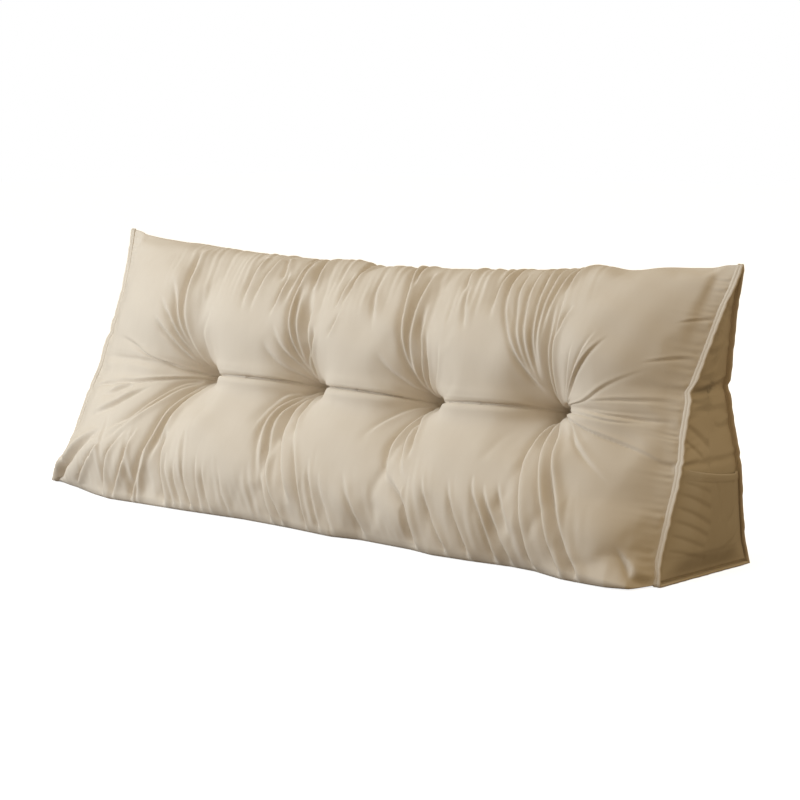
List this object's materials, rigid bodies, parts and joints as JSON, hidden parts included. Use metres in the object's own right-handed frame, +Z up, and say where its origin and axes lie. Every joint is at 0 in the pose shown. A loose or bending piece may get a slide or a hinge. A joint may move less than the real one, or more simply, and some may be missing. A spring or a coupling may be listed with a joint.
{
  "type": "backrest pillow",
  "caption": "Long wedge-shaped velvet backrest cushion with button tufts along its leaning face, flanged end seams and a slip pocket on one end.",
  "frame": {"origin": "centre of the whole object's footprint, on the surface that it stands on", "axes": "+X along the length towards the end with the pocket, +Y from the tufted leaning face to the plain back, +Z up"},
  "size_m": [1.5202, 0.3617, 0.5076],
  "materials": {
    "wrap_velvet": "matt cream velvet with a soft sheen",
    "flange_velvet": "matt cream velvet, topstitched",
    "pocket_velvet": "matt cream velvet, hemmed",
    "button_velvet": "matt cream velvet over a small button"
  },
  "bodies": {
    "root": {"cushion": "wrap_velvet", "seam_flange_left": "flange_velvet", "seam_flange_right": "flange_velvet", "pocket": "pocket_velvet", "button_1": "button_velvet", "button_2": "button_velvet", "button_3": "button_velvet", "button_4": "button_velvet"}
  },
  "joints": []
}
